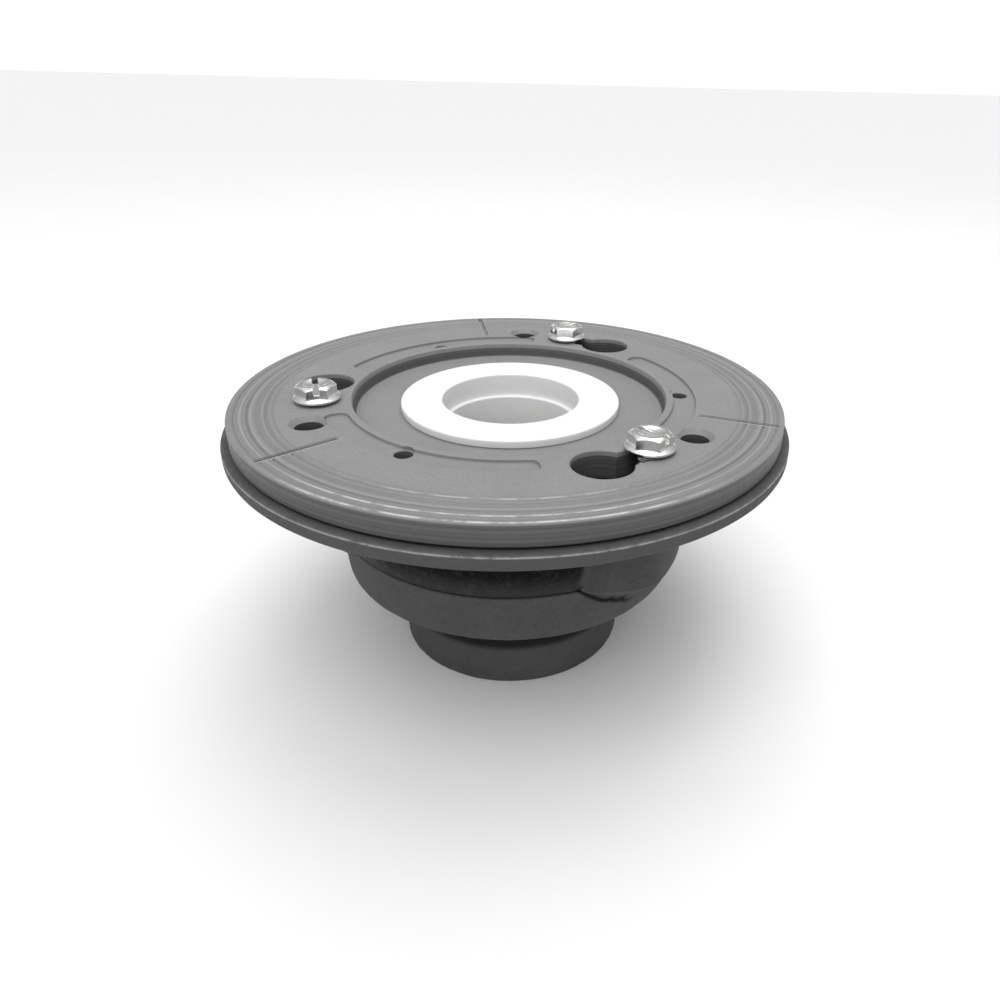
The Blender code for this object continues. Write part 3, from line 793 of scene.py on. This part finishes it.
def keyhole_outline(bolt_deg, growth):
    """A big hole that a bolt head passes, joined to a slot that curves to the bolt."""
    centre_deg = bolt_deg - KEYHOLE_TURN_DEG
    centre = polar(BOLT_CIRCLE, centre_deg)
    big = KEYHOLE_RADIUS + growth
    half = KEYHOLE_HALF_WIDTH + growth
    inner = BOLT_CIRCLE - half
    outer = BOLT_CIRCLE + half

    def meeting_deg(radius):
        """The angle about the axis at which the big hole meets an edge of the slot."""
        cosine = (radius ** 2 + BOLT_CIRCLE ** 2 - big ** 2) / (2 * radius * BOLT_CIRCLE)
        return centre_deg + math.degrees(math.acos(cosine))

    along = arc((0.0, 0.0), outer, meeting_deg(outer), bolt_deg, 8)
    end = arc(polar(BOLT_CIRCLE, bolt_deg), half, bolt_deg, bolt_deg + 180, 20)
    back = arc((0.0, 0.0), inner, bolt_deg, meeting_deg(inner), 8)

    def bearing(point):
        return math.degrees(math.atan2(point[1] - centre[1], point[0] - centre[0]))

    start = bearing(back[-1])
    finish = bearing(along[0])
    if finish < start:
        finish += 360
    return along + end[1:-1] + back + arc(centre, big, start, finish, 48)[1:-1]


def crescent_outline(bolt_deg, growth):
    """A shallow curved pocket just outside the recess, with rounded corners."""
    corner = CRESCENT_CORNER
    outer_circle = CRESCENT_RADIUS - corner
    inner_circle = CRESCENT_INNER_RADIUS + corner
    outer_inset = math.degrees(math.asin(corner / outer_circle))
    inner_inset = math.degrees(math.asin(corner / inner_circle))
    start = bolt_deg + CRESCENT_START_DEG
    end = bolt_deg + CRESCENT_END_DEG

    def turn(radius, degrees, start_deg):
        return arc(polar(radius, degrees), corner + growth, start_deg, start_deg + 90, 8)

    outline = arc((0.0, 0.0), CRESCENT_INNER_RADIUS - growth, end - inner_inset, start + inner_inset, 50)
    outline += turn(inner_circle, start + inner_inset, start + 180)
    outline += turn(outer_circle, start + outer_inset, start + 270)
    outline += arc((0.0, 0.0), CRESCENT_RADIUS + growth, start + outer_inset, end - outer_inset, 60)[1:-1]
    outline += turn(outer_circle, end - outer_inset, end)
    outline += turn(inner_circle, end - inner_inset, end + 90)
    return outline[1:-1]


def bar_outline(degrees, start, end, width):
    """A straight radial bar with round ends."""
    half = width / 2
    near = arc(polar(start + half, degrees), half, degrees + 90, degrees + 270, 8)
    far = arc(polar(end - half, degrees), half, degrees - 90, degrees + 90, 8)
    return near + far


def cut_ring(ring):
    """The ring's keyholes, screw holes, crescents, radial marks, weep holes and weep channels."""
    seat = FLANGE_TOP + GAP
    below = seat - OVERCUT
    holes = bmesh.new()
    pockets = bmesh.new()
    weeps = bmesh.new()
    channels = bmesh.new()
    lips = bmesh.new()
    for bolt_deg in BOLT_ANGLES.values():
        cut_with_rim(holes, lambda growth: keyhole_outline(bolt_deg, growth), below, RING_TOP, 0.5)
        centre = polar(SCREW_HOLE_CIRCLE, bolt_deg + SCREW_HOLE_DEG)
        wall = circle(centre, SCREW_HOLE_RADIUS, 48)
        sink = circle(centre, SCREW_HOLE_RADIUS + COUNTERSINK * 0.7, 48)
        brow = circle(centre, SCREW_HOLE_RADIUS + COUNTERSINK, 48)
        loft(holes, [(wall, below), (wall, RING_TOP - COUNTERSINK), (sink, RING_TOP - 0.45),
                     (brow, RING_TOP), (brow, RING_TOP + OVERCUT)])
        mark_deg = bolt_deg + GROOVE_DEG
        cut_with_rim(
            holes, lambda growth: bar_outline(mark_deg, GROOVE_START - growth, GROOVE_END + growth,
                                              GROOVE_WIDTH + 2 * growth),
            RING_TOP - GROOVE_DEPTH, RING_TOP, 0.25, 0.4)
        cut_with_rim(pockets, lambda growth: crescent_outline(bolt_deg, growth),
                     RING_TOP - CRESCENT_DEPTH, RING_TOP, RIM, 0.4)
        weep = polar(WEEP_CIRCLE, bolt_deg + WEEP_DEG)
        cut_with_rim(weeps, lambda growth: circle(weep, WEEP_RADIUS + growth, 32),
                     below, RING_TOP - CRESCENT_DEPTH, RIM)
        loft(channels, [(bar_outline(bolt_deg + WEEP_DEG, CHANNEL_START, WEEP_CIRCLE, CHANNEL_WIDTH), z)
                        for z in (below, seat + CHANNEL_DEPTH)])
        lip = bar_outline(mark_deg, GROOVE_START - 0.6, GROOVE_END + 0.6, GROOVE_WIDTH + 2 * LIP_WIDTH)
        crest = bar_outline(mark_deg, GROOVE_START, GROOVE_END, GROOVE_WIDTH + LIP_WIDTH)
        loft(lips, [(lip, RING_TOP - 0.5), (lip, RING_TOP - 0.02), (crest, RING_TOP + LIP_RISE)])
    boolean(ring, lips, "UNION")
    for work in (holes, pockets, weeps, channels):
        boolean(ring, work)


def ring_casting(material):
    """The clamping ring: machined top with turned grooves, strainer recess and threaded collar."""
    seat = FLANGE_TOP + GAP
    corners = [(RECESS_RADIUS, RING_TOP, 0.6)]
    for radius, width, depth in TURNED_GROOVES:
        corners += [(radius - width / 2, RING_TOP, 0.15), (radius, RING_TOP - depth, 0.15),
                    (radius + width / 2, RING_TOP, 0.15)]
    corners += [(RING_RADIUS, RING_TOP, 0.4), (RING_RADIUS, RING_BOTTOM, 0.6)]
    corners += reversed(bead(RING_BEAD_RADIUS, RING_BOTTOM, GAP - BEAD_HEIGHT))
    corners += [
        (SEAT_RADIUS + 0.6, RING_BOTTOM, 0.3), (SEAT_RADIUS, seat, 0.3), (COLLAR_RADIUS, seat, 1.5),
        (COLLAR_RADIUS, COLLAR_BOTTOM, 0.8), (COLLAR_BORE_RADIUS, COLLAR_BOTTOM, 0.7),
        (COLLAR_BORE_RADIUS, RECESS_FLOOR, 0.7), (RECESS_RADIUS - 1.0, RECESS_FLOOR, 1.6)]
    outline = refined(rounded(corners), PIPE_PITCH / 6, lambda p: on_wall(p[0], COLLAR_BORE_RADIUS))

    def collar_thread(radius, height, angle):
        threaded = COLLAR_BOTTOM + 1.0 < height < RECESS_FLOOR - 1.0
        if on_wall(radius, COLLAR_BORE_RADIUS) and threaded:
            radius += PIPE_THREAD_DEPTH * (1 - thread(height, angle, PIPE_PITCH))
        return radius, height

    ring = turned("ring_casting", outline, RING_SEGMENTS, collar_thread)
    cut_ring(ring)
    crisp(ring)
    settle(ring, "clamping_ring", "ring_iron", material, "clamping_ring", "ring_collar")


def bolt_head_mesh():
    """Hex head with a dished top and a screwdriver slot on a domed washer face, edges rounded."""
    top = BOLT_TOP - RING_TOP - BOLT_STANDOFF
    dome = WASHER_THICKNESS + WASHER_DOME
    corner = HEAD_ACROSS_FLATS / 2 / math.cos(math.radians(30))
    rise = [(corner, WASHER_THICKNESS / 2), (corner, top - HEAD_CHAMFER), (corner - HEAD_TOP_INSET, top)]
    work = bmesh.new()
    hexagon = [polar(corner, 30 + 60 * side) for side in range(6)]
    loft(work, [(hexagon, WASHER_THICKNESS / 2), (hexagon, top)])
    head = as_object("head", work)
    work = bmesh.new()
    loft(work, [(circle((0, 0), radius, 60), z) for radius, z in rise])
    boolean(head, work, "INTERSECT")
    work = bmesh.new()
    dish = [(DISH_RADIUS * share, top - DISH_DEPTH * (1 - share ** 2)) for share in (0.3, 0.6, 0.85, 1.0)]
    loft(work, [(circle((0, 0), radius, 60), z) for radius, z in dish]
         + [(circle((0, 0), DISH_RADIUS, 60), top + OVERCUT)])
    boolean(head, work)
    work = bmesh.new()
    washer = [(WASHER_RADIUS, 0.0), (WASHER_RADIUS, WASHER_THICKNESS * 0.7),
              (HEAD_ACROSS_FLATS / 2 - 0.4, dome)]
    loft(work, [(circle((0, 0), radius, 96), z) for radius, z in washer])
    boolean(head, work, "UNION")
    work = bmesh.new()
    slot = [(side * HEAD_ACROSS_FLATS, end * SLOT_WIDTH / 2)
            for side, end in ((-1, -1), (1, -1), (1, 1), (-1, 1))]
    loft(work, [(slot, top - SLOT_DEPTH), (slot, top + OVERCUT)])
    boolean(head, work)
    remesh = head.modifiers.new("round", "REMESH")
    remesh.mode = "VOXEL"
    remesh.voxel_size = HEAD_VOXEL * MM
    soften = head.modifiers.new("soften", "SMOOTH")
    soften.iterations = 8
    apply_all(head)
    mesh = head.data
    bpy.data.objects.remove(head)
    return mesh


def bolt_shank(length):
    """The threaded shank below the washer face."""
    core = 0.02
    in_head = 0.2
    corners = [(core, in_head), (SHANK_RADIUS, in_head), (SHANK_RADIUS, -length), (core, -length)]
    outline = refined(corners, BOLT_PITCH / 7, lambda p: on_wall(p[0], SHANK_RADIUS))

    def cut_thread(radius, height, angle):
        if radius > 1.0:
            fade = smooth_step(-height, 0.3, 1.6)
            depth = BOLT_THREAD_DEPTH * thread(height, angle, BOLT_PITCH) * fade
            radius -= max(depth, smooth_step(-height, length - BOLT_TIP_LENGTH, length) * BOLT_TIP_DEPTH)
        return radius, height

    return turned("shank", outline, BOLT_SEGMENTS, cut_thread)


def clamp_bolt_pieces(material):
    """Three zinc-plated bolts that share one mesh."""
    length = RING_TOP + BOLT_STANDOFF - BOLT_FOOT
    shank = bolt_shank(length)
    work = bmesh.new()
    work.from_mesh(bolt_head_mesh())
    work.from_mesh(shank.data)
    mesh = bpy.data.meshes.new("clamp_bolt")
    work.to_mesh(mesh)
    work.free()
    bpy.data.objects.remove(shank)
    mesh.shade_smooth()
    mesh.set_sharp_from_angle(angle=math.radians(55))
    for place, degrees in BOLT_ANGLES.items():
        bolt = bpy.data.objects.new(f"zinc_bolt_{place}", mesh)
        bpy.context.collection.objects.link(bolt)
        x, y = polar(BOLT_CIRCLE, degrees)
        bolt.location = Vector((x, y, RING_TOP + BOLT_STANDOFF)) * MM
        bolt.rotation_euler.z = math.radians(BOLT_SLOT_ANGLES[place])
        settle(bolt, f"clamp_bolt_{place}", "zinc_steel", material, f"clamp_bolt_{place}")


def throat_moulding(material):
    """The plastic throat: a flat flange, an inner ledge and a threaded barrel."""
    ledge = RING_TOP - THROAT_LEDGE_DEPTH
    under = THROAT_TOP - THROAT_FLANGE_THICKNESS - 0.2
    corners = [
        (THROAT_BORE_RADIUS, THROAT_TOP, 0.7), (THROAT_FLANGE_RADIUS, THROAT_TOP, 0.7),
        (THROAT_FLANGE_RADIUS, under, 0.35), (THROAT_RADIUS, under, 0.3),
        (THROAT_RADIUS, THROAT_FOOT, 0.8), (THROAT_LOWER_BORE_RADIUS, THROAT_FOOT, 0.6),
        (THROAT_LOWER_BORE_RADIUS, ledge, 0.5), (THROAT_BORE_RADIUS, ledge, 0.4)]
    outline = refined(rounded(corners), PIPE_PITCH / 7, lambda p: on_wall(p[0], THROAT_RADIUS))

    def barrel_thread(radius, height, angle):
        if on_wall(radius, THROAT_RADIUS) and height < under - 0.5:
            fade = smooth_step(under - height, 0.5, 2.5) * smooth_step(height - THROAT_FOOT, 0.8, 2.0)
            radius -= PIPE_THREAD_DEPTH * thread(height, angle, PIPE_PITCH) * fade
        return radius, height

    throat = turned("throat_moulding", outline, THROAT_SEGMENTS, barrel_thread)
    crisp(throat)
    settle(throat, "strainer_throat", "white_plastic", material, "strainer_throat")


def gasket_moulding(material):
    """The rubber ring, with sealing ribs down its bore and a lip at its top."""
    corners = [(GASKET_BORE_RADIUS + 0.6, GASKET_TOP, 0.8), (GASKET_RADIUS, GASKET_TOP, 0.8),
               (GASKET_RADIUS, GASKET_FOOT, 0.8), (GASKET_BORE_RADIUS + 0.6, GASKET_FOOT, 0.8)]
    step = (GASKET_TOP - GASKET_FOOT) / (GASKET_RIBS + 1)
    for rib in range(1, GASKET_RIBS + 1):
        height = GASKET_FOOT + rib * step
        corners += [(GASKET_BORE_RADIUS + 0.9, height - step * 0.3, 0.5),
                    (GASKET_BORE_RADIUS, height, 0.6),
                    (GASKET_BORE_RADIUS + 0.9, height + step * 0.3, 0.5)]
    gasket = turned("gasket_moulding", rounded(corners), THROAT_SEGMENTS)
    crisp(gasket)
    settle(gasket, "drain_body", "black_rubber", material, "outlet_gasket")


def nut_casting(material):
    """The compression nut: threaded outside, notched on top for its spanner."""
    corners = [
        (NUT_BORE_RADIUS, NUT_TOP, 0.6), (NUT_RADIUS, NUT_TOP, 0.7), (NUT_RADIUS, NUT_FOOT, 0.7),
        (NUT_BORE_RADIUS, NUT_FOOT, 0.6)]
    outline = refined(rounded(corners), NUT_PITCH / 7, lambda p: on_wall(p[0], NUT_RADIUS))

    def outer_thread(radius, height, angle):
        if on_wall(radius, NUT_RADIUS):
            fade = smooth_step(height - NUT_FOOT, 0.7, 1.6) * smooth_step(NUT_TOP - height, 0.7, 1.6)
            radius -= NUT_THREAD_DEPTH * thread(height, angle, NUT_PITCH) * fade
        return radius, height

    nut = turned("nut_casting", outline, THROAT_SEGMENTS, outer_thread)
    work = bmesh.new()
    for side in range(6):
        start = NUT_BORE_RADIUS - 2 * OVERCUT
        end = NUT_RADIUS + 2 * OVERCUT
        cut_with_rim(work, lambda growth: bar_outline(60 * side, start, end,
                                                      NUT_NOTCH_WIDTH + 2 * growth),
                     NUT_TOP - NUT_NOTCH_DEPTH, NUT_TOP, 0.4, 0.4)
    boolean(nut, work)
    crisp(nut)
    settle(nut, "compression_nut", "nut_brass", material, "compression_nut")


# ---------------------------------------------------------------- floor, light and camera


def floor():
    """A pale floor, wide enough to run out of every view."""
    mesh = bpy.data.meshes.new("floor")
    corners = [(x * FLOOR_HALF, y * FLOOR_HALF, 0) for x, y in ((-1, -1), (1, -1), (1, 1), (-1, 1))]
    mesh.from_pydata(corners, [], [(0, 1, 2, 3)])
    ground = bpy.data.objects.new("floor", mesh)
    bpy.context.collection.objects.link(ground)
    graph = Graph("floor_paper", 0.9, specular=0.1)
    color = graph.mix(graph.noise(60.0, 3.0), grey(0.88), grey(0.92))
    mesh.materials.append(graph.finish(color))


def area_light(name, location, target, size, power):
    """A soft square lamp that faces a point."""
    lamp = bpy.data.lights.new(name, "AREA")
    lamp.size = size
    lamp.energy = power
    holder = bpy.data.objects.new(name, lamp)
    bpy.context.collection.objects.link(holder)
    holder.location = location
    holder.rotation_euler = (Vector(target) - Vector(location)).to_track_quat("-Z", "Y").to_euler()


def sun(name, elevation, azimuth, spread_deg, power):
    """A wide, soft sun; azimuth 0 shines from the front, 90 from the left."""
    lamp = bpy.data.lights.new(name, "SUN")
    lamp.energy = power
    lamp.angle = math.radians(spread_deg)
    holder = bpy.data.objects.new(name, lamp)
    bpy.context.collection.objects.link(holder)
    holder.rotation_euler = (math.radians(90 - elevation), 0, math.radians(-azimuth))


def studio():
    """Pale surroundings, bright overhead and at the horizon, with a soft sun from the front left."""
    world = bpy.data.worlds.new("studio")
    world.use_nodes = True
    nodes = world.node_tree.nodes
    links = world.node_tree.links
    direction = nodes.new("ShaderNodeTexCoord").outputs["Generated"]
    split = nodes.new("ShaderNodeSeparateXYZ")
    links.new(direction, split.inputs[0])
    ramp = nodes.new("ShaderNodeValToRGB")
    links.new(split.outputs["Z"], ramp.inputs["Fac"])
    stops = ramp.color_ramp.elements
    for stop, position in zip(stops, (0.0, 1.0)):
        stop.position = position
        stop.color = (1.0, 1.0, 1.0, 1.0)
    for position, value in SKY_STOPS:
        stop = stops.new(position)
        stop.color = (value, value, value, 1.0)
    links.new(ramp.outputs["Color"], nodes["Background"].inputs["Color"])
    nodes["Background"].inputs["Strength"].default_value = SKY_STRENGTH
    bpy.context.scene.world = world
    sun("key", elevation=60, azimuth=15, spread_deg=50, power=1.2)
    area_light("overhead", location=(0.1, 0.25, 1.2), target=(0.0, 0.0, 0.09), size=0.8, power=4.0)
    bpy.context.scene.view_settings.view_transform = "Standard"


def camera():
    """The view from the front, looking down on the ring."""
    data = bpy.data.cameras.new("camera")
    data.lens = CAMERA_LENS
    data.sensor_width = SENSOR_WIDTH
    data.shift_x = CAMERA_SHIFT_X
    holder = bpy.data.objects.new("camera", data)
    bpy.context.collection.objects.link(holder)
    place = Matrix.Translation(CAMERA_PLACE)
    tilt = Matrix.Rotation(math.radians(90 - CAMERA_DOWN_DEG), 4, "X")
    roll = Matrix.Rotation(math.radians(CAMERA_ROLL_DEG), 4, "Z")
    holder.matrix_world = place @ tilt @ roll
    bpy.context.scene.camera = holder


camera()
floor()
studio()
drain_casting(body_iron())
ring_casting(ring_paint())
clamp_bolt_pieces(zinc_plate())
throat_moulding(white_plastic())
gasket_moulding(black_rubber())
nut_casting(cast_brass())
